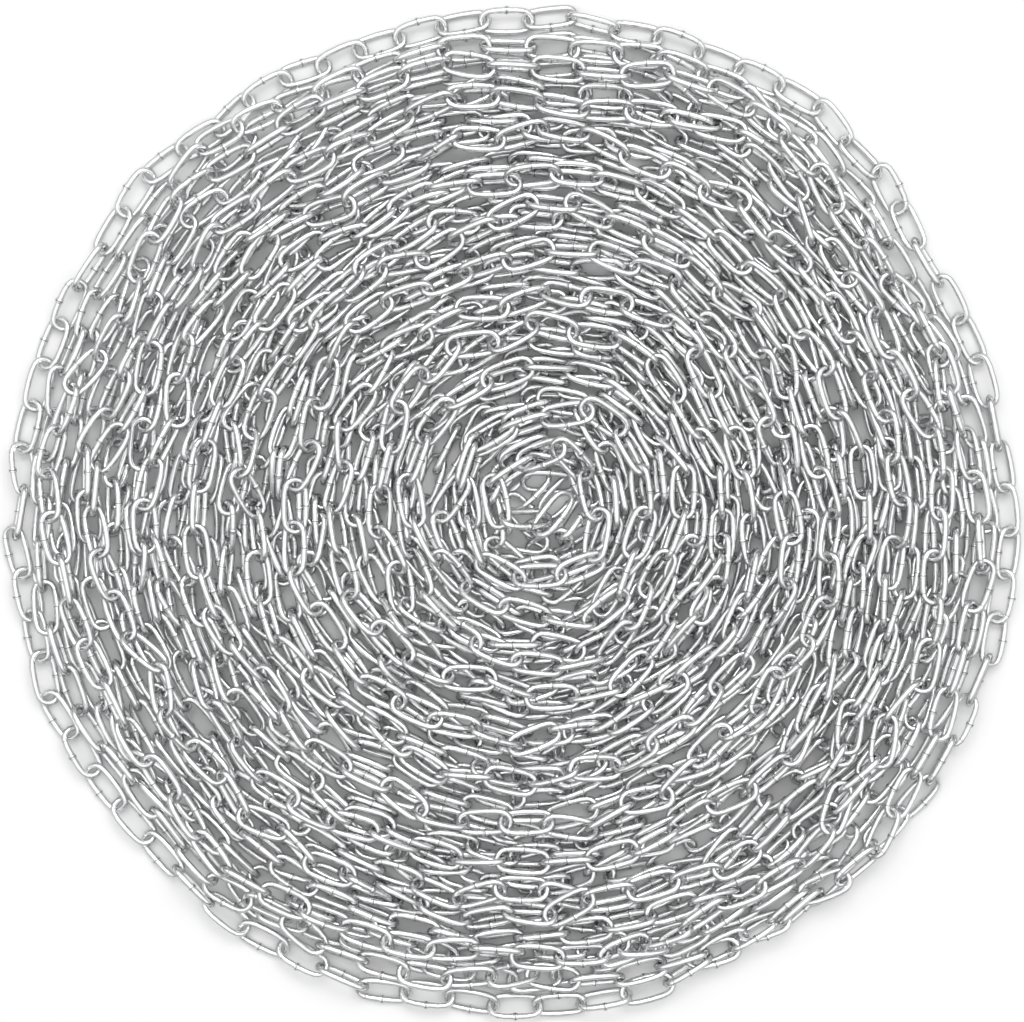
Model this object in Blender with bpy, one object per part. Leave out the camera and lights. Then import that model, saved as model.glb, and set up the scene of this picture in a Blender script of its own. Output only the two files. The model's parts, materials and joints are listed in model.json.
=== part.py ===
"""Heap of welded steel chain, laid down as a flat round spiral.

Units are metres, +Z is up. The origin is on the floor, under the middle of
the heap. The chain is 3.2 mm wire with links 27 mm long. The strand that is
seen from above is modelled link by link, flat and upright links by turns, and
each turn of its spiral is one solid. The strands under it are one core, whose
ridges are the turns of the next strand down.
"""
import math

import bmesh
import bpy
from mathutils import Vector

# One link of the chain
WIRE = 0.0032               # wire diameter
PITCH = 0.0206              # inner length
WIDTH = 0.0135              # outer width
LENGTH = PITCH + 2 * WIRE   # outer length

# The heap
REACH = 0.2282              # outer edge of the outermost turn, on average
TURN_STEP = 0.0172          # strand to strand in plan
JOG_START = 0.86            # a turn keeps its radius this far, then steps in
EVEN_FROM = 6.0             # from this turn on the spiral narrows evenly
LAST_RADIUS = 0.0255        # radius of the innermost turn's end
CLEAR = 0.0003              # gap between pieces that touch
MIDDLE = (0.017, 0.007)     # middle of the swirl; the turns drift away from it

# The strand's own shape: the crown of a flat link ends in a face as wide as
# the wire, and the upright link starts on that face
HALF_WIRE = WIRE / 2
SHOULDER = 0.0092           # where the straight side starts, from the middle
HOLE_HALF_LENGTH = 0.0087
HOLE_HALF_WIDTH = WIDTH / 2 - WIRE
UPRIGHT_HALF = PITCH - LENGTH / 2       # half of what shows of an upright link
UPRIGHT_TOP_HALF = 0.0049

# Height of the core's grooves against the radius, both on the round heap
CORE_PROFILE = (
    (0.013, 0.0040),
    (0.022, 0.0064),
    (0.036, 0.0092),
    (0.060, 0.0104),
    (0.110, 0.0102),
    (0.150, 0.0104),
    (0.178, 0.0100),
    (0.192, 0.0080),
    (0.204, 0.0032),
    (0.2085, 0.0),
)
CORE_HOLE = CORE_PROFILE[0][0]      # the floor shows in the middle of the swirl
CORE_RIM = CORE_PROFILE[-1][0]
CORE_SEGMENTS = 48
# From one turn of the top strand to the next, the core is a groove, a slope, a
# ridge and a slope again: edges as shares of the way
GROOVE_EDGE = 0.20
RIDGE_EDGE = 0.40
RIDGE = 0.0050                      # ridge over groove
RIDGE_FADES_IN = (0.022, 0.046)     # the ridges rise between these radii
RIDGE_FADES_OUT = (0.170, 0.196)    # and sink again between these

# The outline is not a true circle: waves round the rim, as counts per turn,
# share of the radius and phase in degrees
OUTLINE_WAVES = (
    (3, 0.0079, 138.0),
    (4, 0.0052, 76.0),
    (5, 0.0048, 53.0),
    (6, 0.0040, 316.0),
    (8, 0.0036, 296.0),
)
# The strand wanders within its turn, in metres, in waves per metre of strand
WANDER = 0.0006
WANDER_RATE = 5.3

STEEL = (0.66, 0.665, 0.67, 1.0)
DARK_STEEL = (0.36, 0.365, 0.37, 1.0)


def clear_scene():
    for old in list(bpy.data.objects):
        bpy.data.objects.remove(old, do_unlink=True)


def steel(name, colour, roughness):
    material = bpy.data.materials.new(name)
    material.use_nodes = True
    shader = material.node_tree.nodes["Principled BSDF"]
    shader.inputs["Base Color"].default_value = colour
    shader.inputs["Metallic"].default_value = 1.0
    shader.inputs["Roughness"].default_value = roughness
    return material


def outline(angle):
    """How far the heap reaches at this angle, as a share of the round heap."""
    share = 1.0
    for count, size, phase in OUTLINE_WAVES:
        share += size * math.cos(count * angle + math.radians(phase))
    return share


def placed(angle, radius, height):
    """A point of the round heap, brought to the real outline and middle."""
    wide = radius * outline(angle)
    drift = max(1.0 - radius / (REACH - WIDTH / 2), 0.0)
    return Vector((
        wide * math.cos(angle) + MIDDLE[0] * drift,
        wide * math.sin(angle) + MIDDLE[1] * drift,
        height,
    ))


def share_of(value, low, high):
    return min(max((value - low) / (high - low), 0.0), 1.0)


def groove_height(radius):
    """Bottom of the core's grooves at this radius; below 0 past its rim."""
    for inner, outer in zip(CORE_PROFILE, CORE_PROFILE[1:]):
        if radius <= outer[0]:
            share = max((radius - inner[0]) / (outer[0] - inner[0]), 0.0)
            return inner[1] + share * (outer[1] - inner[1])
    return -CLEAR


def ridge_height(radius):
    """How far a ridge stands over the grooves at this radius."""
    inside = share_of(radius, *RIDGE_FADES_IN)
    return RIDGE * inside * (1.0 - share_of(radius, *RIDGE_FADES_OUT))


def steps_in(turns):
    """Strand steps taken inward after this many turns.

    The outermost turn keeps its radius and steps in at its end. Further in
    the steps spread out, until the spiral narrows evenly.
    """
    whole = math.floor(turns)
    part = turns - whole
    rise = max(part - JOG_START, 0.0) / (1.0 - JOG_START)
    jog = rise * rise * (3.0 - 2.0 * rise)
    stepped = max(1.0 - turns / EVEN_FROM, 0.0)
    return turns + stepped * (jog - part)


def turn_radius(turns):
    """Radius of the strand's line after this many turns."""
    return REACH - WIDTH / 2 - TURN_STEP * steps_in(turns)


def core_top(angle, radius):
    """Height of the core beside the strand, which is at this angle."""
    turns = angle / (2 * math.pi)
    line = turn_radius(turns)
    beside = turn_radius(turns - 1.0 if radius > line else turns + 1.0)
    away = (radius - line) / (beside - line)
    return groove_height(radius) + ridge_height(radius) * share_of(away, GROOVE_EDGE, RIDGE_EDGE)


def strand_height(angle, radius):
    """Middle of the strand: its upright links stand on the core or the floor."""
    reach = HALF_WIRE + 0.0015
    under = max(core_top(angle, radius + step * reach) for step in (-1.0, -0.5, 0.0, 0.5, 1.0))
    return WIDTH / 2 + max(under + CLEAR, 0.0)


def strand_point(angle):
    """A point on the strand, which winds inward as the angle grows."""
    radius = turn_radius(angle / (2 * math.pi))
    run = angle * (turn_radius(0.0) + radius) / 2
    radius += WANDER * math.sin(2 * math.pi * WANDER_RATE * run)
    return placed(angle, radius, strand_height(angle, radius)), radius


def next_angle(angle, distance):
    """The angle at which the strand is this far, in a straight line, from here."""
    here = strand_point(angle)[0]
    near, far = angle, angle + 2.0
    for _ in range(40):
        middle = (near + far) / 2
        if (strand_point(middle)[0] - here).length < distance:
            near = middle
        else:
            far = middle
    return far


def square_at(bm, point, direction):
    """Four corners of the wire's square section where two links meet."""
    side = Vector((-direction.y, direction.x, 0.0)).normalized() * HALF_WIRE
    up = Vector((0.0, 0.0, HALF_WIRE))
    return {
        (-1, -1): bm.verts.new(point - side - up),
        (1, -1): bm.verts.new(point + side - up),
        (-1, 1): bm.verts.new(point - side + up),
        (1, 1): bm.verts.new(point + side + up),
    }


def link_frame(start, end):
    along = (end - start).normalized()
    side = Vector((-along.y, along.x, 0.0)).normalized()
    return (start + end) / 2, along, side, along.cross(side)


def flat_link(bm, start, end, tail, head):
    """An open frame lying flat, between the squares tail and head."""
    middle, along, side, up = link_frame(start, end)

    def corner(x, y, level):
        return bm.verts.new(middle + along * x + side * y + up * (level * HALF_WIRE))

    outer, hole = {}, {}
    for level in (-1, 1):
        outer[level] = [
            head[(-1, level)],
            head[(1, level)],
            corner(SHOULDER, WIDTH / 2, level),
            corner(-SHOULDER, WIDTH / 2, level),
            tail[(1, level)],
            tail[(-1, level)],
            corner(-SHOULDER, -WIDTH / 2, level),
            corner(SHOULDER, -WIDTH / 2, level),
        ]
        hole[level] = [
            corner(HOLE_HALF_LENGTH, HOLE_HALF_WIDTH, level),
            corner(-HOLE_HALF_LENGTH, HOLE_HALF_WIDTH, level),
            corner(-HOLE_HALF_LENGTH, -HOLE_HALF_WIDTH, level),
            corner(HOLE_HALF_LENGTH, -HOLE_HALF_WIDTH, level),
        ]
        o, h = outer[level], hole[level]
        bands = [
            (o[0], o[1], h[0], h[3]),
            (o[1], o[2], h[0]),
            (o[2], o[3], h[1], h[0]),
            (o[3], o[4], h[1]),
            (o[4], o[5], h[2], h[1]),
            (o[5], o[6], h[2]),
            (o[6], o[7], h[3], h[2]),
            (o[7], o[0], h[3]),
        ]
        for band in bands:
            bm.faces.new(band if level > 0 else band[::-1])
    low, high = outer[-1], outer[1]
    for k in (1, 2, 3, 5, 6, 7):
        n = (k + 1) % 8
        bm.faces.new((low[k], low[n], high[n], high[k]))
    low, high = hole[-1], hole[1]
    for k in range(4):
        n = (k + 1) % 4
        bm.faces.new((low[n], low[k], high[k], high[n]))


def upright_link(bm, start, end, tail, head):
    """A link on its edge: what shows of it between two flat links."""
    middle, along, side, up = link_frame(start, end)

    def corner(x, z, face):
        return bm.verts.new(middle + along * x + up * z + side * (face * HALF_WIRE))

    rings = {}
    for face in (-1, 1):
        rings[face] = [
            head[(face, -1)],
            head[(face, 1)],
            corner(UPRIGHT_TOP_HALF, WIDTH / 2, face),
            corner(-UPRIGHT_TOP_HALF, WIDTH / 2, face),
            tail[(face, 1)],
            tail[(face, -1)],
            corner(-UPRIGHT_TOP_HALF, -WIDTH / 2, face),
            corner(UPRIGHT_TOP_HALF, -WIDTH / 2, face),
        ]
        bm.faces.new(rings[face] if face < 0 else rings[face][::-1])
    near, far = rings[-1], rings[1]
    for k in (1, 2, 3, 5, 6, 7):
        n = (k + 1) % 8
        bm.faces.new((near[n], near[k], far[k], far[n]))


def strand(name, start_angle, end_angle, material):
    """One turn of the spiral, as a closed solid that starts and ends flat."""
    angles = [start_angle]
    points = [strand_point(start_angle)[0]]
    while True:
        flat_end = next_angle(angles[-1], LENGTH)
        angles.append(flat_end)
        points.append(strand_point(flat_end)[0])
        upright_end = next_angle(flat_end, 2 * UPRIGHT_HALF)
        next_end = next_angle(upright_end, LENGTH)
        if next_end > end_angle:
            break
        angles.append(upright_end)
        points.append(strand_point(upright_end)[0])

    bm = bmesh.new()
    squares = []
    for angle, point in zip(angles, points):
        ahead = strand_point(angle + 0.01)[0] - strand_point(angle - 0.01)[0]
        squares.append(square_at(bm, point, ahead))
    for k in range(len(points) - 1):
        make = flat_link if k % 2 == 0 else upright_link
        make(bm, points[k], points[k + 1], squares[k], squares[k + 1])
    tail, head = squares[0], squares[-1]
    bm.faces.new((tail[(-1, -1)], tail[(-1, 1)], tail[(1, 1)], tail[(1, -1)]))
    bm.faces.new((head[(1, -1)], head[(1, 1)], head[(-1, 1)], head[(-1, -1)]))
    bmesh.ops.triangulate(bm, faces=bm.faces[:])

    mesh = bpy.data.meshes.new(name)
    bm.to_mesh(mesh)
    bm.free()
    mesh.materials.append(material)
    piece = bpy.data.objects.new(name, mesh)
    bpy.context.collection.objects.link(piece)
    return angles[-1]


def core_ring(segment, ring):
    """Radius and height of the core at one of its spiral edges.

    Four edges run beside each turn: the two sides of the groove and the two
    sides of the ridge further in.
    """
    turns = segment / CORE_SEGMENTS + ring // 4
    share = (-GROOVE_EDGE, GROOVE_EDGE, RIDGE_EDGE, 1.0 - RIDGE_EDGE)[ring % 4]
    line = turn_radius(turns)
    beside = turn_radius(turns - 1.0 if share < 0 else turns + 1.0)
    radius = line + abs(share) * (beside - line)
    height = groove_height(radius)
    if ring % 4 > 1:
        height += ridge_height(radius)
    return radius, height


def hidden_core(material):
    """The strands under the top one: a grooved mound with a flat underside.

    Its edges follow the top strand's spiral, so the last segment of one turn
    runs on into the first segment of the next.
    """
    bm = bmesh.new()

    def floor_ring(radius):
        angles = [2 * math.pi * k / CORE_SEGMENTS for k in range(CORE_SEGMENTS)]
        return [bm.verts.new(placed(angle, radius, 0.0)) for angle in angles]

    rim, hole_foot = floor_ring(CORE_RIM), floor_ring(CORE_HOLE)
    hole_edge = [
        bm.verts.new((foot.co.x, foot.co.y, groove_height(CORE_HOLE))) for foot in hole_foot
    ]
    made = {}

    def corner(segment, ring):
        if segment == CORE_SEGMENTS:
            segment, ring = 0, ring + 4
        radius, height = core_ring(segment, ring)
        if radius >= CORE_RIM:
            return rim[segment]
        if radius <= CORE_HOLE:
            return hole_edge[segment]
        if (segment, ring) not in made:
            angle = 2 * math.pi * segment / CORE_SEGMENTS
            made[(segment, ring)] = bm.verts.new(placed(angle, radius, height))
        return made[(segment, ring)]

    rings = 4 * math.ceil(turn_radius(0.0) / TURN_STEP)
    for k in range(CORE_SEGMENTS):
        for ring in range(-4, rings):
            corners = [
                corner(k, ring),
                corner(k, ring + 1),
                corner(k + 1, ring + 1),
                corner(k + 1, ring),
            ]
            face = [v for n, v in enumerate(corners) if v is not corners[n - 1]]
            if len(set(face)) > 2:
                bm.faces.new(face[::-1])
        n = (k + 1) % CORE_SEGMENTS
        bm.faces.new((hole_edge[k], hole_foot[k], hole_foot[n], hole_edge[n]))
        bm.faces.new((rim[k], rim[n], hole_foot[n], hole_foot[k]))
    bmesh.ops.triangulate(bm, faces=bm.faces[:])
    bmesh.ops.recalc_face_normals(bm, faces=bm.faces[:])

    mesh = bpy.data.meshes.new("hidden_core")
    bm.to_mesh(mesh)
    bm.free()
    mesh.materials.append(material)
    core = bpy.data.objects.new("hidden_core", mesh)
    bpy.context.collection.objects.link(core)


def build():
    clear_scene()
    bright = steel("zinc_plated_steel", STEEL, 0.28)
    shaded = steel("shaded_steel", DARK_STEEL, 0.4)
    hidden_core(shaded)

    whole = (REACH - WIDTH / 2 - LAST_RADIUS) / TURN_STEP * 2 * math.pi
    start = 0.0
    turn = 0
    while start < whole - math.pi:
        turn += 1
        end = min(2 * math.pi * turn, whole)
        if whole - end < math.pi:
            end = whole
        last = strand(f"turn_{turn:02d}", start, end, bright)
        start = next_angle(last, CLEAR)


build()
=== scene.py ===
"""Heap of welded steel chain, seen from straight above.

One long length of chain is laid as a spiral that runs in and out over the
floor several times. Its links are then settled: each is a stiff ring of round
wire that may not pass through its neighbours or the floor and stays hooked
into the next. The settled links are made by Geometry Nodes, one piece for the
outermost turn and one for each pass of the spiral.
"""
import json
import math

import bmesh
import bpy
import numpy as np
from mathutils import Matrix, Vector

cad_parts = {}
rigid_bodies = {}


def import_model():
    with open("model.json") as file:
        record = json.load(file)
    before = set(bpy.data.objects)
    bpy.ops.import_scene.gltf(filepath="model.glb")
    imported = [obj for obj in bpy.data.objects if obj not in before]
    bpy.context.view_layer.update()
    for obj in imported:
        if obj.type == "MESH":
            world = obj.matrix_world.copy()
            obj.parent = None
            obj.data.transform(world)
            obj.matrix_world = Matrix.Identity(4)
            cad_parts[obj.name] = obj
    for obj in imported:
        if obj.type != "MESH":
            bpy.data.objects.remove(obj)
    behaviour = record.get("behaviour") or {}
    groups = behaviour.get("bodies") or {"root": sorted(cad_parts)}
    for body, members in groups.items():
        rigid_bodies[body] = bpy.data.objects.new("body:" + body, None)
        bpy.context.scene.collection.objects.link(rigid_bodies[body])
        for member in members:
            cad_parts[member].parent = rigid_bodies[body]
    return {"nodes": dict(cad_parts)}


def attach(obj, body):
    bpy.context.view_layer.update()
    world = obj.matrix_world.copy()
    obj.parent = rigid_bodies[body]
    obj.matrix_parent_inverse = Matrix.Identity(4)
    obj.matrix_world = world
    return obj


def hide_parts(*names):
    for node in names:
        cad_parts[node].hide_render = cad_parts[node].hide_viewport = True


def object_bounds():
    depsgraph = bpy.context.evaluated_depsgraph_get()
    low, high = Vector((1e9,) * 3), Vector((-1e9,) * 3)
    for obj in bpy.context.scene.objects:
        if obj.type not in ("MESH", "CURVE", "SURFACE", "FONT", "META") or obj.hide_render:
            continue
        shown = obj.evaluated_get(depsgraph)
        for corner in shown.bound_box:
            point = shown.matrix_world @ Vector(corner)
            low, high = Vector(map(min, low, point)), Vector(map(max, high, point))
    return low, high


bl_info = {
    "name": "Chain heap",
    "version": (1, 0, 0),
    "blender": (4, 5, 0),
    "location": "View3D > Sidebar > Chain heap",
    "description": "Lays, settles and finishes a flat round heap of steel chain",
    "category": "Add Mesh",
}

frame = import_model()
CAD_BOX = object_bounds()
HEAP_TOP = CAD_BOX[1].z
MM = 1000.0         # the chain is laid and settled in millimetres

# Waves round the heap's outline: count per turn, share of the radius, phase
OUTLINE_WAVES = (
    (3, 0.0079, 138.0),
    (4, 0.0052, 76.0),
    (5, 0.0048, 53.0),
    (6, 0.0040, 316.0),
    (8, 0.0036, 296.0),
)
# Middle of the swirl, which the turns drift away from towards the rim
MIDDLE = (0.017, 0.007)
# A turn near the rim keeps its radius this far and then steps in, and from
# this turn on the spiral narrows evenly
JOG_START = 0.86
EVEN_FROM = 6.0
# How far each pass of the chain stays in from the rim, and its inner radius,
# from the floor up
PASSES = (
    (0.012, 0.006),
    (0.020, 0.016),
    (0.010, 0.022),
    (0.0, 0.012),
)
# Dense points of the laid chain: how many for each turn, how many the change
# from one pass to the next is eased over, how many the last outward pass lies
# at the rim for, and how far ahead the next joint is looked for
POINTS_A_TURN = 2000
EASED_OVER = 160
RIM_POINTS = 330
POINTS_AHEAD = 2600
# In mm: height of the lowest strand as laid, how far in from the rim the
# passes have their full height, and how long the strand's bends, dips and
# twists are
LAID_HEIGHT = 7.5
FULL_HEIGHT_IN = 16.0
BEND_WAVE = 120.0
DIP_WAVE = 260.0
TWIST_WAVE = 220.0


class ChainSize(bpy.types.PropertyGroup):
    """Sizes of one link of the chain."""

    wire: bpy.props.FloatProperty(
        name="Wire",
        description="Diameter of the round wire",
        default=0.0032,
        min=0.0005,
        unit="LENGTH",
    )
    pitch: bpy.props.FloatProperty(
        name="Pitch",
        description="Inner length of a link",
        default=0.0206,
        min=0.002,
        unit="LENGTH",
    )
    width: bpy.props.FloatProperty(
        name="Width",
        description="Outer width of a link",
        default=0.0135,
        min=0.002,
        unit="LENGTH",
    )
    weld_swell: bpy.props.FloatProperty(
        name="Weld swell",
        description="How far the weld stands out from the wire",
        default=0.0003,
        min=0.0,
        unit="LENGTH",
    )
    weld_half: bpy.props.FloatProperty(
        name="Weld half length",
        description="Half of the length of wire that the weld swells",
        default=0.0011,
        min=0.0,
        unit="LENGTH",
    )


class HeapLayout(bpy.types.PropertyGroup):
    """How the chain is laid before it settles."""

    reach: bpy.props.FloatProperty(
        name="Reach",
        description="Radius of the heap's outer edge, on average",
        default=0.2262,
        unit="LENGTH",
    )
    step: bpy.props.FloatProperty(
        name="Turn step",
        description="Distance between neighbouring turns in plan",
        default=0.0172,
        unit="LENGTH",
    )
    drop_in: bpy.props.FloatProperty(
        name="Pass height",
        description="Height of one pass of the spiral over the one before it, as laid",
        default=0.0070,
        unit="LENGTH",
    )
    wander: bpy.props.FloatProperty(
        name="Wander",
        description="How far a strand strays to the side",
        default=0.0022,
        unit="LENGTH",
    )
    dip: bpy.props.FloatProperty(
        name="Dip",
        description="How far a strand dips under its neighbours and rises again",
        default=0.0030,
        unit="LENGTH",
    )
    stagger: bpy.props.FloatProperty(
        name="Stagger",
        description="How far each joint lies off the strand's line",
        default=0.0009,
        unit="LENGTH",
    )
    slack: bpy.props.FloatProperty(
        name="Slack",
        description="How far hooked links slide into each other, as the chain is laid",
        default=0.0018,
        unit="LENGTH",
    )
    roll: bpy.props.FloatProperty(
        name="Roll",
        description="How far the strand twists about its own line",
        default=math.radians(24.0),
        subtype="ANGLE",
    )
    lean: bpy.props.FloatProperty(
        name="Lean",
        description="How far the flatter links lean to one side, on average",
        default=math.radians(20.0),
        subtype="ANGLE",
    )
    seed: bpy.props.IntProperty(
        name="Seed",
        description="Start of every random draw in the layout",
        default=3,
    )


class Settling(bpy.types.PropertyGroup):
    """How the laid chain is let down onto the floor."""

    steps: bpy.props.IntProperty(
        name="Steps",
        description="Steps in which every link sinks a little",
        default=150,
        min=1,
    )
    passes: bpy.props.IntProperty(
        name="Passes",
        description="Rounds of pushing apart after each step",
        default=8,
        min=1,
    )
    sink: bpy.props.FloatProperty(
        name="Sink",
        description="How far every link sinks in one step",
        default=0.00022,
        unit="LENGTH",
    )
    rest: bpy.props.IntProperty(
        name="Rest",
        description="Rounds of pushing apart after the last step",
        default=240,
        min=1,
    )


class SteelFinish(bpy.types.PropertyGroup):
    """Colours of the steel."""

    plate: bpy.props.FloatVectorProperty(
        name="Zinc plate",
        description="Colour of the bright zinc plate",
        default=(0.90, 0.905, 0.91),
        subtype="COLOR",
        min=0.0,
        max=1.0,
    )
    plate_dull: bpy.props.FloatVectorProperty(
        name="Dull plate",
        description="Colour of the plate where it is thin or handled",
        default=(0.78, 0.785, 0.79),
        subtype="COLOR",
        min=0.0,
        max=1.0,
    )
    # painted shade: a dark edge tint that darkens the plate's reflections at low angles, drawing
    # dark outlines along the wires
    painted_edge_shade: bpy.props.FloatVectorProperty(
        name="Plate at its edges",
        description="Colour of the plate where it is seen at a very low angle",
        default=(0.30, 0.30, 0.30),
        subtype="COLOR",
        min=0.0,
        max=1.0,
    )
    weld: bpy.props.FloatVectorProperty(
        name="Weld",
        description="Colour of the line where the wire's ends are welded",
        default=(0.40, 0.40, 0.395),
        subtype="COLOR",
        min=0.0,
        max=1.0,
    )


class StageSize(bpy.types.PropertyGroup):
    """Floor, camera and light."""

    floor: bpy.props.FloatProperty(
        name="Floor",
        description="Side of the plain floor",
        default=14.0,
        unit="LENGTH",
    )
    camera_height: bpy.props.FloatProperty(
        name="Camera height",
        description="Height of the camera over the floor",
        default=1.203,
        unit="LENGTH",
    )
    lens: bpy.props.FloatProperty(
        name="Lens",
        description="Focal length of the camera",
        default=94.0,
        unit="CAMERA",
    )


def settings(name):
    """One group of the sizes and colours that a user may change."""
    return getattr(bpy.context.scene, name)


# ---- laying the chain -------------------------------------------------------


def outline(angle):
    """How far the heap reaches at this angle, as a share of the round heap."""
    share = np.ones_like(angle)
    for count, size, phase in OUTLINE_WAVES:
        share += size * np.cos(count * angle + math.radians(phase))
    return share


def steps_in(turns):
    """Turn steps taken inward: rim turns keep their radius, then step in."""
    part = turns - np.floor(turns)
    rise = np.maximum(part - JOG_START, 0.0) / (1.0 - JOG_START)
    jog = rise * rise * (3.0 - 2.0 * rise)
    return turns + np.maximum(1.0 - turns / EVEN_FROM, 0.0) * (jog - part)


def smooth_noise(rng, run, wave, count=6):
    """A smooth random line along the run, with unit variance."""
    line = np.zeros_like(run)
    for _ in range(count):
        rate = rng.uniform(0.5, 1.5) * 2.0 * math.pi / wave
        line += np.sin(rate * run + rng.uniform(0.0, 2.0 * math.pi))
    return line * math.sqrt(2.0 / count)


def eased(line, width):
    """The line with its steps eased over this many points."""
    padded = np.pad(line, (width, width), mode="edge")
    return np.convolve(padded, np.full(2 * width + 1, 1.0 / (2 * width + 1)), mode="valid")


def chain_path(rng, layout, rim):
    """Dense points of the whole chain in mm, and the pass that each is in.

    Passes go outward and inward by turns, all the same way round. The last
    one starts on the floor as the heap's outermost turn, at angle 0.
    """
    step = layout.step * MM
    turns = [(rim - (inset + inner) * MM) / step for inset, inner in PASSES]
    start = -2.0 * math.pi * sum(turns[:-1])
    radii, angles, which = [], [], []
    for number, (inset, _) in enumerate(PASSES):
        share = np.linspace(0.0, turns[number], int(turns[number] * POINTS_A_TURN))
        radius = rim - inset * MM - step * steps_in(share)
        radii.append(radius[::-1] if number % 2 == 0 else radius)
        angles.append(start + 2.0 * math.pi * share)
        which.append(np.full(len(share), number))
        start = angles[-1][-1]
    which = np.concatenate(which)
    angle = np.concatenate(angles)
    # the last outward pass reaches the rim before the outermost turn starts
    radii[-2][-RIM_POINTS:] = rim
    radius = eased(np.concatenate(radii), EASED_OVER)
    inside = np.clip((rim - radius) / FULL_HEIGHT_IN, 0.0, 1.0)
    passes = eased(which.astype(float), EASED_OVER)
    height = LAID_HEIGHT + passes * layout.drop_in * MM * inside

    run = np.concatenate([[0.0], np.cumsum(np.hypot(np.diff(radius), radius[1:] * np.diff(angle)))])
    radius += layout.wander * MM * (0.3 + 0.7 * inside) * smooth_noise(rng, run, BEND_WAVE)
    height += layout.dip * MM * inside * smooth_noise(rng, run, DIP_WAVE)
    shift = np.clip(1.0 - radius / rim, 0.0, 1.0)
    wide = radius * outline(angle)
    path = np.stack([
        wide * np.cos(angle) + MIDDLE[0] * MM * shift,
        wide * np.sin(angle) + MIDDLE[1] * MM * shift,
        height,
    ])
    return path, which


def spaced(path, distances):
    """Indices of points along the dense path, at these distances in turn."""
    chosen = [0]
    here, count = 0, path.shape[1]
    for distance in distances:
        ahead = path[:2, here:min(here + POINTS_AHEAD, count)] - path[:2, here:here + 1]
        step = int(np.argmax(np.hypot(ahead[0], ahead[1]) >= distance))
        if step == 0:
            break
        here += step
        chosen.append(here)
    return np.array(chosen)


def lay_chain(chain, layout):
    """Places of all links as laid: centres in mm, turns and the pass of each."""
    rng = np.random.default_rng(layout.seed)
    path, which = chain_path(rng, layout, (layout.reach - chain.width / 2) * MM)
    slack = np.minimum(np.abs(rng.normal(0.0, layout.slack, 4000)), chain.pitch / 4)
    chosen = spaced(path, (chain.pitch - 0.0004 - slack) * MM)
    joint, which = path[:, chosen], which[chosen]
    joint[:2] += rng.normal(0.0, layout.stagger * MM, joint[:2].shape)

    span = np.diff(joint[:2], axis=1)
    count = span.shape[1]
    along = np.concatenate([span / np.hypot(span[0], span[1]), np.zeros((1, count))])
    run = np.arange(count) * chain.pitch * MM
    roll = layout.lean + layout.roll * smooth_noise(rng, run, TWIST_WAVE)
    roll += math.pi / 2 * (np.arange(count) % 2) + rng.normal(0.0, 0.2, count)
    # the weld is on one side or the other
    roll += math.pi * rng.integers(0, 2, count)
    return (joint[:, 1:] + joint[:, :-1]) / 2, turned_to(along, roll), which[1:]


# ---- settling the chain -----------------------------------------------------


def cross(a, b):
    return np.stack([
        a[1] * b[2] - a[2] * b[1],
        a[2] * b[0] - a[0] * b[2],
        a[0] * b[1] - a[1] * b[0],
    ])


def dot(a, b):
    return a[0] * b[0] + a[1] * b[1] + a[2] * b[2]


def turned_to(along, roll):
    """Quaternions that bring +X to the level directions, rolled about them."""
    side = np.stack([-along[1], along[0], np.zeros_like(roll)])
    up = cross(along, side)
    y = side * np.cos(roll) + up * np.sin(roll)
    z = -side * np.sin(roll) + up * np.cos(roll)
    m = np.stack([along, y, z], axis=1)
    q = np.stack([
        1.0 + m[0, 0] + m[1, 1] + m[2, 2],
        1.0 + m[0, 0] - m[1, 1] - m[2, 2],
        1.0 - m[0, 0] + m[1, 1] - m[2, 2],
        1.0 - m[0, 0] - m[1, 1] + m[2, 2],
    ])
    q = np.sqrt(np.maximum(q, 0.0)) / 2
    q[1] = np.copysign(q[1], m[2, 1] - m[1, 2])
    q[2] = np.copysign(q[2], m[0, 2] - m[2, 0])
    q[3] = np.copysign(q[3], m[1, 0] - m[0, 1])
    return q / np.sqrt((q * q).sum(axis=0))


def link_axes(q):
    """Each link's long axis and the axis across its oval."""
    w, x, y, z = q
    along = np.stack([1 - 2 * (y * y + z * z), 2 * (x * y + z * w), 2 * (x * z - y * w)])
    across = np.stack([2 * (x * y - z * w), 1 - 2 * (x * x + z * z), 2 * (y * z + x * w)])
    return along, across


def turn(q, spin):
    """Quaternions after small turns, given as vectors in radians."""
    x, y, z = spin * 0.5
    a, b, c, d = q
    out = np.stack([
        a - x * b - y * c - z * d,
        b + x * a + y * d - z * c,
        c + y * a + z * b - x * d,
        d + z * a + x * c - y * b,
    ])
    return out / np.sqrt((out * out).sum(axis=0))


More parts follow.
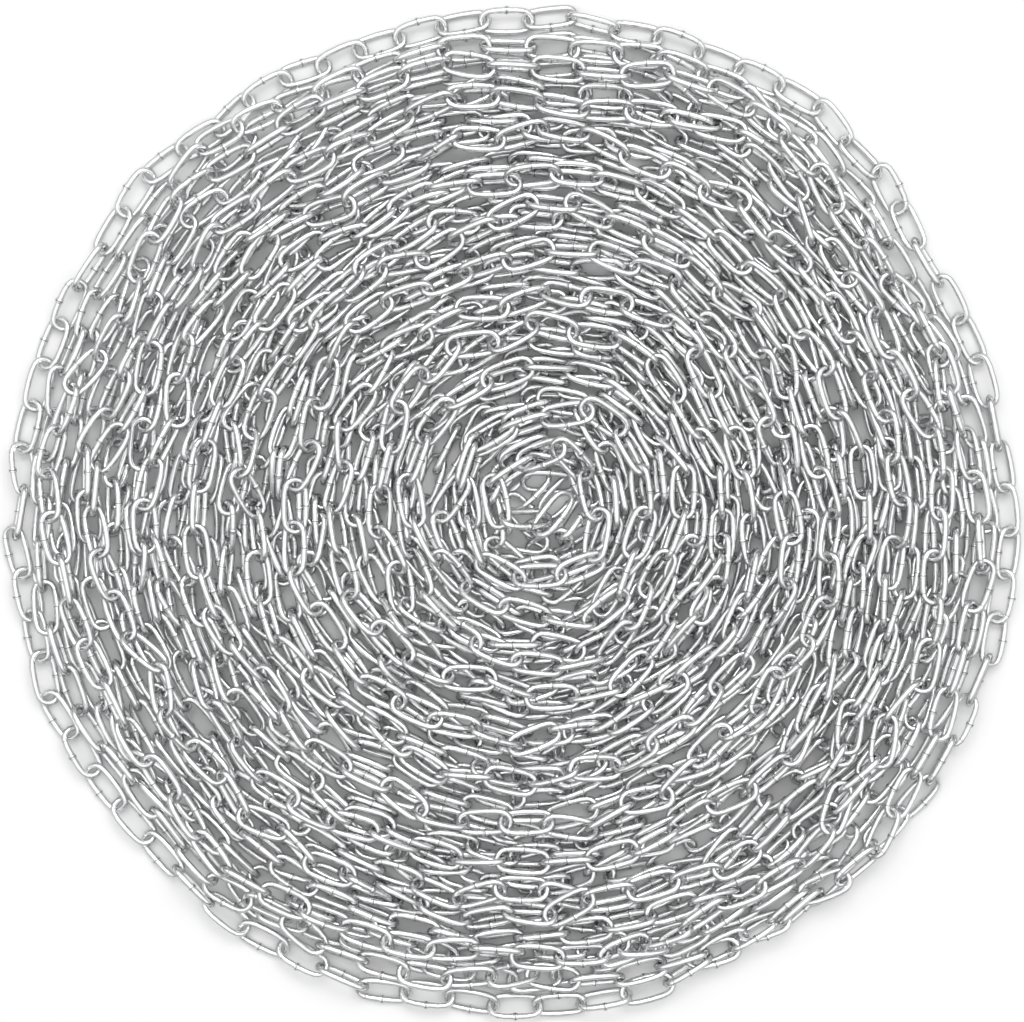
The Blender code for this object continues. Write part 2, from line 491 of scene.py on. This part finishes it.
class LinkHeap:
    """All links as stiff rings of wire, in mm, with what keeps them apart."""

    SPIN_RESIST = 50.0      # square mm of spin inertia for each unit of mass
    CELL = 10.5             # side of the cells that near runs are sought in
    LONGEST_RUN = 6.0       # a bound on the runs' lengths, for a first sieve
    LOOK_AHEAD = 1.5        # near pairs are kept up to this gap between wires
    CLOSE = 0.55            # and those tested in each round up to this gap
    CLEARANCE = 0.05

    def __init__(self, chain, centre, turns):
        """Links of this chain at these places, in the order they are hooked."""
        self.wire = chain.wire * MM
        self.crown = (chain.width - chain.wire) / 2 * MM
        self.straight = (chain.pitch + 2 * chain.wire - chain.width) / 2 * MM
        self.centre = centre
        self.turns = turns
        self.count = centre.shape[1]
        self.home = centre[:2].copy()
        self.ring = self.ring_points()
        per_link = len(self.ring[0])
        number = np.arange(self.count * per_link)
        self.owner = number // per_link
        self.after = self.owner * per_link + (number % per_link + 1) % per_link
        self.hooks = [np.arange(first, self.count - 1, 2) for first in (0, 1)]

    def ring_points(self):
        """Corners of a link's centreline, in its own plane."""
        points = []
        for end in (1, -1):
            for angle in (-90, -45, 0, 45, 90):
                swell = 1.045 if abs(angle) == 45 else 1.0
                reach = self.crown * swell * math.cos(math.radians(angle))
                side = self.crown * swell * math.sin(math.radians(angle))
                points.append((end * (self.straight + reach), end * side))
            points.append((0.0, end * self.crown))
        return np.array(points).T

    def corners(self):
        """Corners of every link's centreline, where the links are now."""
        along, across = link_axes(self.turns)
        out = self.centre[:, :, None] + along[:, :, None] * self.ring[0]
        return (out + across[:, :, None] * self.ring[1]).reshape(3, -1)

    def nearest(self, corner, one, two):
        """Gap, near points and direction between centreline runs one and two."""
        start, other = corner[:, one], corner[:, two]
        u = corner[:, self.after[one]] - start
        v = corner[:, self.after[two]] - other
        r = start - other
        a, e, b = dot(u, u), dot(v, v), dot(u, v)
        c, f = dot(u, r), dot(v, r)
        skew = a * e - b * b
        s = np.where(skew > 1e-6 * a * e, (b * f - c * e) / np.maximum(skew, 1e-9), 0.5)
        s = np.clip(s, 0.0, 1.0)
        t = np.clip((b * s + f) / e, 0.0, 1.0)
        s = np.clip((b * t - c) / a, 0.0, 1.0)
        near_one, near_two = start + u * s, other + v * t
        apart = near_one - near_two
        return np.sqrt(dot(apart, apart)), near_one, near_two, apart

    def near_pairs(self):
        """Pairs of centreline runs of different links that could touch soon."""
        corner = self.corners()
        middle = (corner + corner[:, self.after]) / 2
        cell = np.floor(middle / self.CELL).astype(np.int64)
        cell -= cell.min(axis=1, keepdims=True) - 1
        size = cell.max(axis=1) + 2
        key = (cell[0] * size[1] + cell[1]) * size[2] + cell[2]
        order = np.argsort(key, kind="stable")
        keys = key[order]
        place = np.arange(len(key))
        ones, twos = [], []
        for dx in (-1, 0, 1):
            for dy in (-1, 0, 1):
                for dz in (-1, 0, 1):
                    shift = (dx * size[1] + dy) * size[2] + dz
                    if shift < 0:
                        continue
                    low = place + 1 if shift == 0 else np.searchsorted(keys, keys + shift, "left")
                    high = np.searchsorted(keys, keys + shift, "right")
                    number = np.maximum(high - low, 0)
                    begin = np.cumsum(number) - number
                    one = np.repeat(place, number)
                    two = np.arange(number.sum()) + np.repeat(low - begin, number)
                    one, two = order[one], order[two]
                    gap = middle[:, one] - middle[:, two]
                    near = dot(gap, gap) < (self.LONGEST_RUN + self.wire + self.LOOK_AHEAD) ** 2
                    near &= self.owner[one] != self.owner[two]
                    ones.append(one[near])
                    twos.append(two[near])
        one, two = np.concatenate(ones), np.concatenate(twos)
        keep = self.nearest(corner, one, two)[0] < self.wire + self.LOOK_AHEAD
        one, two = one[keep], two[keep]
        order = np.lexsort((two, one))
        return one[order], two[order]

    def close_pairs(self, pairs):
        """Those of the pairs that the next few rounds may push on."""
        keep = self.nearest(self.corners(), *pairs)[0] < self.wire + self.CLOSE
        return pairs[0][keep], pairs[1][keep]

    def push_apart(self, pairs, lid):
        """One round: wires out of each other, off the floor and under the lid."""
        corner = self.corners()
        one, two = pairs
        gap, near_one, near_two, apart = self.nearest(corner, one, two)
        hit = np.flatnonzero(gap < self.wire + self.CLEARANCE)
        link_one, link_two = self.owner[one[hit]], self.owner[two[hit]]
        way = apart[:, hit] / np.maximum(gap[hit], 1e-6)
        arm_one = cross(near_one[:, hit] - self.centre[:, link_one], way)
        arm_two = cross(near_two[:, hit] - self.centre[:, link_two], way)
        give = 2.0 + (dot(arm_one, arm_one) + dot(arm_two, arm_two)) / self.SPIN_RESIST
        push = (self.wire + self.CLEARANCE - gap[hit]) / give
        moved = [link_one, link_two]
        shifts = [way * push, -way * push]
        spins = [arm_one * push / self.SPIN_RESIST, -arm_two * push / self.SPIN_RESIST]
        for sign, level in ((1.0, 0.0), (-1.0, lid)):
            depth = self.wire / 2 - sign * (corner[2] - level)
            low = np.flatnonzero(depth > 0.0)
            link = self.owner[low]
            arm = corner[:, low] - self.centre[:, link]
            arm = sign * np.stack([arm[1], -arm[0], np.zeros(len(low))])
            push = depth[low] / (1.0 + dot(arm, arm) / self.SPIN_RESIST)
            shift = np.zeros((3, len(low)))
            shift[2] = sign * push
            moved.append(link)
            shifts.append(shift)
            spins.append(arm * push / self.SPIN_RESIST)
        moved = np.concatenate(moved)
        shifts = np.concatenate(shifts, axis=1)
        spins = np.concatenate(spins, axis=1)
        # a link that is pushed at many places takes a smaller share of each
        share = 1.3 / np.maximum(np.bincount(moved, minlength=self.count), 1) ** 0.75
        spin = np.empty((3, self.count))
        for k in range(3):
            self.centre[k] += np.bincount(moved, shifts[k], minlength=self.count) * share
            spin[k] = np.bincount(moved, spins[k], minlength=self.count) * share
        self.turns = turn(self.turns, spin)

    def pull_together(self):
        """Hooked crowns can't part further than their round ends allow."""
        reach = 2 * self.crown - self.wire
        for one in self.hooks:
            two = one + 1
            arm_one = link_axes(self.turns[:, one])[0] * self.straight
            arm_two = -link_axes(self.turns[:, two])[0] * self.straight
            apart = (self.centre[:, two] + arm_two) - (self.centre[:, one] + arm_one)
            gap = np.sqrt(dot(apart, apart))
            way = apart / np.maximum(gap, 1e-6)
            lever_one, lever_two = cross(arm_one, way), cross(arm_two, way)
            levers = dot(lever_one, lever_one) + dot(lever_two, lever_two)
            pull = np.maximum(gap - reach, 0.0) / (2.0 + levers / self.SPIN_RESIST)
            self.centre[:, one] += way * pull
            self.centre[:, two] -= way * pull
            spin = np.zeros((3, self.count))
            spin[:, one] = lever_one * pull / self.SPIN_RESIST
            spin[:, two] = -lever_two * pull / self.SPIN_RESIST
            self.turns = turn(self.turns, spin)

    def level(self, lid):
        """Lift whole links off the floor and lower them under the lid."""
        height = self.corners()[2].reshape(self.count, -1)
        lift = np.maximum(self.wire / 2 - height.min(axis=1), 0.0)
        self.centre[2] += lift - np.maximum(height.max(axis=1) + self.wire / 2 - lid, 0.0)

    def settle(self, how, lid):
        """Sink, push apart and hook together until the links lie at rest."""
        steps = how.steps
        for step in range(steps):
            # the sinking slows down over the last two fifths of the steps
            slower = 1.0 - max(step / steps - 0.6, 0.0) / 0.38
            self.centre[2] -= how.sink * MM * max(slower, 0.1)
            self.centre[:2] += 0.01 * (self.home - self.centre[:2])
            if step % 4 == 0:
                pairs = self.near_pairs()
            close = self.close_pairs(pairs)
            for _ in range(how.passes):
                self.push_apart(close, lid + 40.0 * (1.0 - step / steps))
                self.pull_together()
        for step in range(how.rest):
            if step % 12 == 0:
                pairs = self.near_pairs()
            if step % 4 == 0:
                close = self.close_pairs(pairs)
            self.push_apart(close, lid)
            self.pull_together()
            if step > how.rest // 2:
                self.level(lid)
        corner = self.corners()[:2]
        self.centre[:2] -= (corner.min(axis=1) + corner.max(axis=1))[:, None] / 2


# ---- making the links -------------------------------------------------------


def tube_mesh(name, rings, sides, from_weld, closed):
    """A mesh round a run of rings, each (x, y, out_x, out_y, radius)."""
    bm = bmesh.new()
    rows = []
    for x, y, out_x, out_y, radius in rings:
        row = []
        for k in range(sides):
            angle = 2 * math.pi * k / sides
            off, up = radius * math.cos(angle), radius * math.sin(angle)
            row.append(bm.verts.new((x + out_x * off, y + out_y * off, up)))
        rows.append(row)
    for k in range(len(rows) if closed else len(rows) - 1):
        after = rows[(k + 1) % len(rows)]
        for n in range(sides):
            m = (n + 1) % sides
            bm.faces.new((rows[k][n], after[n], after[m], rows[k][m])).smooth = True
    bmesh.ops.recalc_face_normals(bm, faces=bm.faces)
    mesh = bpy.data.meshes.new(name)
    bm.to_mesh(mesh)
    bm.free()
    weld = mesh.attributes.new("from_weld", "FLOAT", "POINT")
    weld.data.foreach_set("value", np.repeat(from_weld, sides))
    return mesh


def link_cage(chain):
    """Coarse cage of one link, which one level of subdivision rounds off.

    Subdivision draws a ring of four corners in to 0.728 of its radius, and a
    half circle of four steps to 0.925, so both are made larger here.
    """
    crown = (chain.width - chain.wire) / 2
    straight = (chain.pitch + 2 * chain.wire - chain.width) / 2
    wire = chain.wire / 2 / 0.728
    rings, from_weld = [], []
    for end in (1, -1):
        for step in range(-2, 3):
            angle = math.pi / 4 * step
            out_x, out_y = end * math.cos(angle), end * math.sin(angle)
            reach = crown if abs(step) == 2 else crown / 0.925
            rings.append((end * straight + reach * out_x, reach * out_y, out_x, out_y, wire))
            # distance along the welded side, which only its own rings know
            on_side = out_y > 0.9
            from_weld.append(end * straight if on_side else 0.0102)
    return tube_mesh("link_cage", rings, 4, from_weld, True)


def weld_ring(chain):
    """The upset that the weld leaves round the wire, midway on one side."""
    crown = (chain.width - chain.wire) / 2
    wire = chain.wire / 2
    half = chain.weld_half
    profile = ((half, -0.05), (0.45 * half, 0.75), (-0.45 * half, 0.75), (-half, -0.05))
    rings = [(x, crown, 0.0, 1.0, wire + chain.weld_swell * swell) for x, swell in profile]
    return tube_mesh("weld_ring", rings, 7, [x for x, _ in profile], False)


def links_tree():
    """Geometry Nodes: a link at each place of one part, turned and made real."""
    tree = bpy.data.node_groups.new("Links along the chain", "GeometryNodeTree")
    for name, kind in (
        ("Places", "NodeSocketGeometry"),
        ("Link", "NodeSocketObject"),
        ("Smoothness", "NodeSocketInt"),
        ("Weld ring", "NodeSocketObject"),
        ("Part", "NodeSocketInt"),
        ("Dullest", "NodeSocketFloat"),
        ("Seed", "NodeSocketInt"),
        ("Steel", "NodeSocketMaterial"),
    ):
        tree.interface.new_socket(name, in_out="INPUT", socket_type=kind)
    tree.interface.new_socket("Links", in_out="OUTPUT", socket_type="NodeSocketGeometry")

    def node(kind, x, y=0.0, **values):
        made = tree.nodes.new(kind)
        made.location = (x, y)
        for key, value in values.items():
            setattr(made, key, value)
        return made

    def live(sockets, name):
        return [socket for socket in sockets if socket.name == name and socket.enabled][0]

    given = node("NodeGroupInput", -1100.0)
    part = node("GeometryNodeInputNamedAttribute", -1100.0, -400.0, data_type="INT")
    part.inputs["Name"].default_value = "part"
    same = node("FunctionNodeCompare", -850.0, -350.0, data_type="INT", operation="EQUAL")
    chosen = node("GeometryNodeSeparateGeometry", -550.0, 100.0, domain="POINT")
    cage = node("GeometryNodeObjectInfo", -850.0, -50.0)
    rounded = node("GeometryNodeSubdivisionSurface", -650.0, -50.0)
    weld = node("GeometryNodeObjectInfo", -650.0, -250.0)
    whole = node("GeometryNodeJoinGeometry", -450.0, -100.0)
    turned = node("GeometryNodeInputNamedAttribute", -550.0, -450.0, data_type="QUATERNION")
    turned.inputs["Name"].default_value = "turned"
    place = node("GeometryNodeInstanceOnPoints", -250.0)
    shade = node("FunctionNodeRandomValue", -250.0, -350.0, data_type="FLOAT")
    store = node("GeometryNodeStoreNamedAttribute", 0.0, data_type="FLOAT", domain="INSTANCE")
    store.inputs["Name"].default_value = "dull"
    real = node("GeometryNodeRealizeInstances", 220.0)
    paint = node("GeometryNodeSetMaterial", 420.0)
    out = node("NodeGroupOutput", 620.0)

    join = tree.links.new
    join(given.outputs["Places"], chosen.inputs["Geometry"])
    join(part.outputs["Attribute"], live(same.inputs, "A"))
    join(given.outputs["Part"], live(same.inputs, "B"))
    join(same.outputs["Result"], chosen.inputs["Selection"])
    join(given.outputs["Link"], cage.inputs["Object"])
    join(cage.outputs["Geometry"], rounded.inputs["Mesh"])
    join(given.outputs["Smoothness"], rounded.inputs["Level"])
    join(given.outputs["Weld ring"], weld.inputs["Object"])
    join(rounded.outputs["Mesh"], whole.inputs["Geometry"])
    join(weld.outputs["Geometry"], whole.inputs["Geometry"])
    join(chosen.outputs["Selection"], place.inputs["Points"])
    join(whole.outputs["Geometry"], place.inputs["Instance"])
    join(turned.outputs["Attribute"], place.inputs["Rotation"])
    join(given.outputs["Dullest"], live(shade.inputs, "Max"))
    join(given.outputs["Seed"], shade.inputs["Seed"])
    join(place.outputs["Instances"], store.inputs["Geometry"])
    join(live(shade.outputs, "Value"), live(store.inputs, "Value"))
    join(store.outputs["Geometry"], real.inputs["Geometry"])
    join(real.outputs["Geometry"], paint.inputs["Geometry"])
    join(given.outputs["Steel"], paint.inputs["Material"])
    join(paint.outputs["Geometry"], out.inputs["Links"])


def place_mesh(centre, turns, part):
    """Points for the links, with how each is turned and which part it is in."""
    mesh = bpy.data.meshes.new("link_places")
    mesh.vertices.add(centre.shape[1])
    mesh.vertices.foreach_set("co", (centre.T / MM).ravel())
    turned = mesh.attributes.new("turned", "QUATERNION", "POINT")
    turned.data.foreach_set("value", turns.T.ravel())
    number = mesh.attributes.new("part", "INT", "POINT")
    number.data.foreach_set("value", part.astype(np.int32))
    return mesh


def make_links(name, part, nodes, seed):
    """The links of one part as a plain mesh that stands for its CAD nodes."""
    places = bpy.data.objects["link_places"]
    carrier = bpy.data.objects.new(name + "_places", places.data)
    bpy.context.collection.objects.link(carrier)
    tree = bpy.data.node_groups["Links along the chain"]
    modifier = carrier.modifiers.new("Links", "NODES")
    modifier.node_group = tree
    inputs = {
        "Link": bpy.data.objects["link_cage"],
        "Smoothness": 1,
        "Weld ring": bpy.data.objects["weld_ring"],
        "Part": part,
        "Dullest": 1.0,
        "Seed": seed,
        "Steel": bpy.data.materials["bright_zinc_plate"],
    }
    for item in tree.interface.items_tree:
        if item.item_type == "SOCKET" and item.name in inputs:
            modifier[item.identifier] = inputs[item.name]
    graph = bpy.context.evaluated_depsgraph_get()
    mesh = bpy.data.meshes.new_from_object(
        carrier.evaluated_get(graph), preserve_all_data_layers=True, depsgraph=graph
    )
    mesh.name = name
    bpy.data.objects.remove(carrier)
    if not len(mesh.polygons):
        raise RuntimeError(f"no links were made for {name}")
    piece = bpy.data.objects.new(name, mesh)
    bpy.context.collection.objects.link(piece)
    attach(piece, "root")
    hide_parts(*nodes)
    return piece


# ---- finish -----------------------------------------------------------------


def bright_zinc_plate(finish):
    """Bright zinc plate on drawn wire, duller in patches and at the weld, with painted shade
    darkening its reflections along the wires' edges.
    """
    material = bpy.data.materials.new("bright_zinc_plate")
    material.use_nodes = True
    tree = material.node_tree
    shader = tree.nodes["Principled BSDF"]
    shader.inputs["Metallic"].default_value = 1.0
    # the dark edge tint is painted shade: it draws dark outlines along the wires' edges
    shader.inputs["Specular Tint"].default_value = (*finish.painted_edge_shade, 1.0)

    def node(kind, x, y, **values):
        made = tree.nodes.new(kind)
        made.location = (x, y)
        for key, value in values.items():
            setattr(made, key, value)
        return made

    join = tree.links.new
    coords = node("ShaderNodeTexCoord", -1400, 0)
    patches = node("ShaderNodeTexNoise", -1150, 200)
    patches.inputs["Scale"].default_value = 70.0
    patches.inputs["Detail"].default_value = 4.0
    join(coords.outputs["Object"], patches.inputs["Vector"])
    grain = node("ShaderNodeTexNoise", -1150, -100)
    grain.inputs["Scale"].default_value = 600.0
    grain.inputs["Detail"].default_value = 1.5
    join(coords.outputs["Object"], grain.inputs["Vector"])
    dull = node("ShaderNodeAttribute", -1150, 450, attribute_name="dull")

    mixed = node("ShaderNodeMath", -900, 350, operation="MULTIPLY")
    join(dull.outputs["Fac"], mixed.inputs[0])
    join(patches.outputs["Fac"], mixed.inputs[1])
    plate = node("ShaderNodeMix", -650, 300, data_type="RGBA")
    plate.inputs[6].default_value = (*finish.plate, 1.0)
    plate.inputs[7].default_value = (*finish.plate_dull, 1.0)
    join(mixed.outputs[0], plate.inputs[0])

    from_weld = node("ShaderNodeAttribute", -1150, -400, attribute_name="from_weld")
    far = node("ShaderNodeMath", -900, -400, operation="ABSOLUTE")
    join(from_weld.outputs["Fac"], far.inputs[0])
    line = node("ShaderNodeMapRange", -700, -400, interpolation_type="SMOOTHSTEP")
    line.inputs["From Min"].default_value = 0.00012
    line.inputs["From Max"].default_value = 0.00048
    line.inputs["To Min"].default_value = 1.0
    line.inputs["To Max"].default_value = 0.0
    join(far.outputs[0], line.inputs["Value"])
    colour = node("ShaderNodeMix", -350, 200, data_type="RGBA")
    colour.inputs[7].default_value = (*finish.weld, 1.0)
    join(plate.outputs[2], colour.inputs[6])
    join(line.outputs["Result"], colour.inputs[0])
    join(colour.outputs[2], shader.inputs["Base Color"])

    rough = node("ShaderNodeMapRange", -650, -50)
    rough.inputs["From Min"].default_value = 0.3
    rough.inputs["From Max"].default_value = 0.7
    rough.inputs["To Min"].default_value = 0.10
    rough.inputs["To Max"].default_value = 0.20
    join(patches.outputs["Fac"], rough.inputs["Value"])
    join(rough.outputs["Result"], shader.inputs["Roughness"])

    bump = node("ShaderNodeBump", -350, -300)
    bump.inputs["Strength"].default_value = 0.35
    bump.inputs["Distance"].default_value = 0.0003
    join(grain.outputs["Fac"], bump.inputs["Height"])
    join(bump.outputs["Normal"], shader.inputs["Normal"])
    return material


# ---- operators --------------------------------------------------------------


class CHAINHEAP_OT_settle(bpy.types.Operator):
    """Lay the chain and let its links settle into a heap"""

    bl_idname = "chain_heap.settle"
    bl_label = "Lay and settle the chain"

    def execute(self, context):
        chain, layout = settings("chain_size"), settings("heap_layout")
        centre, turns, which = lay_chain(chain, layout)
        heap = LinkHeap(chain, centre, turns)
        heap.settle(settings("settling"), HEAP_TOP * MM)
        # the last pass starts with the outermost turn, a part of its own
        turn_length = 2 * math.pi * (layout.reach - chain.width / 2)
        outermost = round(turn_length / (chain.pitch - 0.8 * layout.slack))
        start = int(np.argmax(which == len(PASSES) - 1))
        part = which + 1
        part[start:start + outermost] = 0
        places = bpy.data.objects.new("link_places", place_mesh(heap.centre, heap.turns, part))
        context.collection.objects.link(places)
        places.hide_render = True
        return {"FINISHED"}


class CHAINHEAP_OT_link(bpy.types.Operator):
    """Make the link, its weld, its finish and the nodes that set it out"""

    bl_idname = "chain_heap.link"
    bl_label = "Make the link"

    def execute(self, context):
        chain = settings("chain_size")
        for mesh in (link_cage(chain), weld_ring(chain)):
            helper = bpy.data.objects.new(mesh.name, mesh)
            context.collection.objects.link(helper)
            helper.hide_render = True
        bright_zinc_plate(settings("steel_finish"))
        links_tree()
        return {"FINISHED"}


class CHAINHEAP_OT_outer_turn(bpy.types.Operator):
    """Make the outermost turn, which lies on the floor round the heap"""

    bl_idname = "chain_heap.outer_turn"
    bl_label = "Outermost turn"

    def execute(self, context):
        make_links("outermost_turn", 0, ["turn_01"], 11)
        return {"FINISHED"}


class CHAINHEAP_OT_lower_strands(bpy.types.Operator):
    """Make the passes of the chain under the top one"""

    bl_idname = "chain_heap.lower_strands"
    bl_label = "Lower strands"

    def execute(self, context):
        for part, name in enumerate(("floor_strand", "second_strand", "third_strand"), start=1):
            make_links(name, part, ["hidden_core"], 20 + part)
        return {"FINISHED"}


class CHAINHEAP_OT_top_strand(bpy.types.Operator):
    """Make the last pass of the chain, which lies on the others"""

    bl_idname = "chain_heap.top_strand"
    bl_label = "Top strand"

    def execute(self, context):
        nodes = sorted(n for n in frame["nodes"] if n.startswith("turn_") and n != "turn_01")
        make_links("top_strand", 4, nodes, 31)
        return {"FINISHED"}


class CHAINHEAP_OT_clear_helpers(bpy.types.Operator):
    """Remove the link, its weld and the places that the pieces were made from"""

    bl_idname = "chain_heap.clear_helpers"
    bl_label = "Clear helpers"

    def execute(self, context):
        for name in ("link_cage", "weld_ring", "link_places"):
            bpy.data.objects.remove(bpy.data.objects[name])
        return {"FINISHED"}


class CHAINHEAP_OT_stage(bpy.types.Operator):
    """Add the floor, the camera overhead and soft light"""

    bl_idname = "chain_heap.stage"
    bl_label = "Stage"

    def execute(self, context):
        size = settings("stage_size")
        add_floor(size)
        add_camera(size)
        add_light()
        return {"FINISHED"}


def add_floor(size):
    """A plain white floor, wide enough to fill every view."""
    mesh = bpy.data.meshes.new("floor")
    half = size.floor / 2
    mesh.from_pydata(
        [(-half, -half, 0.0), (half, -half, 0.0), (half, half, 0.0), (-half, half, 0.0)],
        [],
        [(0, 1, 2, 3)],
    )
    white = bpy.data.materials.new("white_floor")
    white.use_nodes = True
    shader = white.node_tree.nodes["Principled BSDF"]
    shader.inputs["Base Color"].default_value = (0.93, 0.93, 0.93, 1.0)
    shader.inputs["Roughness"].default_value = 0.8
    shader.inputs["Specular IOR Level"].default_value = 0.2
    mesh.materials.append(white)
    floor = bpy.data.objects.new("floor", mesh)
    bpy.context.collection.objects.link(floor)


def add_camera(size):
    """A camera straight over the middle of the heap."""
    camera = bpy.data.cameras.new("overhead_camera")
    camera.lens = size.lens
    camera.sensor_width = 36.0
    camera.clip_start = 0.05
    camera.clip_end = 50.0
    holder = bpy.data.objects.new("overhead_camera", camera)
    holder.location = (0.0, 0.0, size.camera_height)
    bpy.context.collection.objects.link(holder)
    bpy.context.scene.camera = holder


def add_light():
    """A pale studio with a bright ceiling, lit most from the photograph's top."""
    world = bpy.data.worlds.new("studio")
    world.use_nodes = True
    tree = world.node_tree
    tree.nodes.clear()

    def node(kind, x, y, **values):
        made = tree.nodes.new(kind)
        made.location = (x, y)
        for key, value in values.items():
            setattr(made, key, value)
        return made

    def ramp(name, source, x, y, low, high, dark, bright):
        made = node("ShaderNodeMapRange", x, y, interpolation_type="SMOOTHSTEP", name=name)
        limits = (("From Min", low), ("From Max", high), ("To Min", dark), ("To Max", bright))
        for limit, value in limits:
            made.inputs[limit].default_value = value
        join(source, made.inputs["Value"])
        return made.outputs["Result"]

    join = tree.links.new
    coords = node("ShaderNodeTexCoord", -900, 0)
    split = node("ShaderNodeSeparateXYZ", -700, 0)
    join(coords.outputs["Generated"], split.inputs["Vector"])
    lit_side = ramp("Lit side", split.outputs["Y"], -500, 300, -0.90, -0.40, 0.5, 1.0)
    ceiling = ramp("Ceiling", split.outputs["Z"], -500, 0, 0.35, 0.80, 0.45, 1.0)
    horizon = ramp("Horizon", split.outputs["Z"], -500, -300, 0.05, 0.35, 0.1, 1.0)
    over = node("ShaderNodeMath", -300, 150, operation="MULTIPLY")
    join(lit_side, over.inputs[0])
    join(ceiling, over.inputs[1])
    all_round = node("ShaderNodeMath", -200, 0, operation="MULTIPLY")
    join(over.outputs[0], all_round.inputs[0])
    join(horizon, all_round.inputs[1])
    strength = node("ShaderNodeMath", -100, 0, operation="MULTIPLY_ADD")
    strength.inputs[1].default_value = 1.17
    strength.inputs[2].default_value = 0.05
    join(all_round.outputs[0], strength.inputs[0])
    room = node("ShaderNodeBackground", 100, 0)
    join(strength.outputs[0], room.inputs["Strength"])
    plain = node("ShaderNodeBackground", 100, -200)
    path = node("ShaderNodeLightPath", 100, 300)
    mix = node("ShaderNodeMixShader", 300, 0)
    out = node("ShaderNodeOutputWorld", 500, 0)
    for background in (room, plain):
        background.inputs["Color"].default_value = (1.0, 1.0, 1.0, 1.0)
    join(path.outputs["Is Camera Ray"], mix.inputs["Fac"])
    join(room.outputs["Background"], mix.inputs[1])
    join(plain.outputs["Background"], mix.inputs[2])
    join(mix.outputs["Shader"], out.inputs["Surface"])
    bpy.context.scene.world = world
    # the room is so even that its bright parts needn't be aimed at, and light
    # that has met six wires adds little
    world.cycles.sampling_method = "NONE"
    bpy.context.scene.cycles.max_bounces = 6

    light = bpy.data.lights.new("softbox", "AREA")
    light.shape = "RECTANGLE"
    light.size = 1.3
    light.size_y = 0.8
    light.energy = 8.0
    box = bpy.data.objects.new("softbox", light)
    box.location = (0.15, 0.95, 1.6)
    box.rotation_euler = (math.radians(-30.0), math.radians(5.0), 0.0)
    box.visible_camera = False
    bpy.context.collection.objects.link(box)
    bpy.context.scene.view_settings.view_transform = "Standard"


OPERATORS = (
    CHAINHEAP_OT_settle,
    CHAINHEAP_OT_link,
    CHAINHEAP_OT_outer_turn,
    CHAINHEAP_OT_lower_strands,
    CHAINHEAP_OT_top_strand,
    CHAINHEAP_OT_clear_helpers,
    CHAINHEAP_OT_stage,
)
GROUPS = (
    ("chain_size", ChainSize),
    ("heap_layout", HeapLayout),
    ("settling", Settling),
    ("steel_finish", SteelFinish),
    ("stage_size", StageSize),
)


class CHAINHEAP_PT_panel(bpy.types.Panel):
    """Sizes and steps of the chain heap"""

    bl_idname = "CHAINHEAP_PT_panel"
    bl_label = "Chain heap"
    bl_space_type = "VIEW_3D"
    bl_region_type = "UI"
    bl_category = "Chain heap"

    def draw(self, context):
        for name, group in GROUPS:
            box = self.layout.box()
            box.label(text=group.__doc__)
            for key in group.__annotations__:
                box.prop(getattr(context.scene, name), key)
        for operator in OPERATORS:
            self.layout.operator(operator.bl_idname)


def register():
    for name, group in GROUPS:
        bpy.utils.register_class(group)
        setattr(bpy.types.Scene, name, bpy.props.PointerProperty(type=group))
    for operator in OPERATORS:
        bpy.utils.register_class(operator)
    bpy.utils.register_class(CHAINHEAP_PT_panel)


def unregister():
    bpy.utils.unregister_class(CHAINHEAP_PT_panel)
    for operator in reversed(OPERATORS):
        bpy.utils.unregister_class(operator)
    for name, group in reversed(GROUPS):
        delattr(bpy.types.Scene, name)
        bpy.utils.unregister_class(group)


def main():
    register()
    bpy.ops.chain_heap.settle()
    bpy.ops.chain_heap.link()
    bpy.ops.chain_heap.outer_turn()
    bpy.ops.chain_heap.lower_strands()
    bpy.ops.chain_heap.top_strand()
    bpy.ops.chain_heap.clear_helpers()
    bpy.ops.chain_heap.stage()


if __name__ == "__main__":
    main()
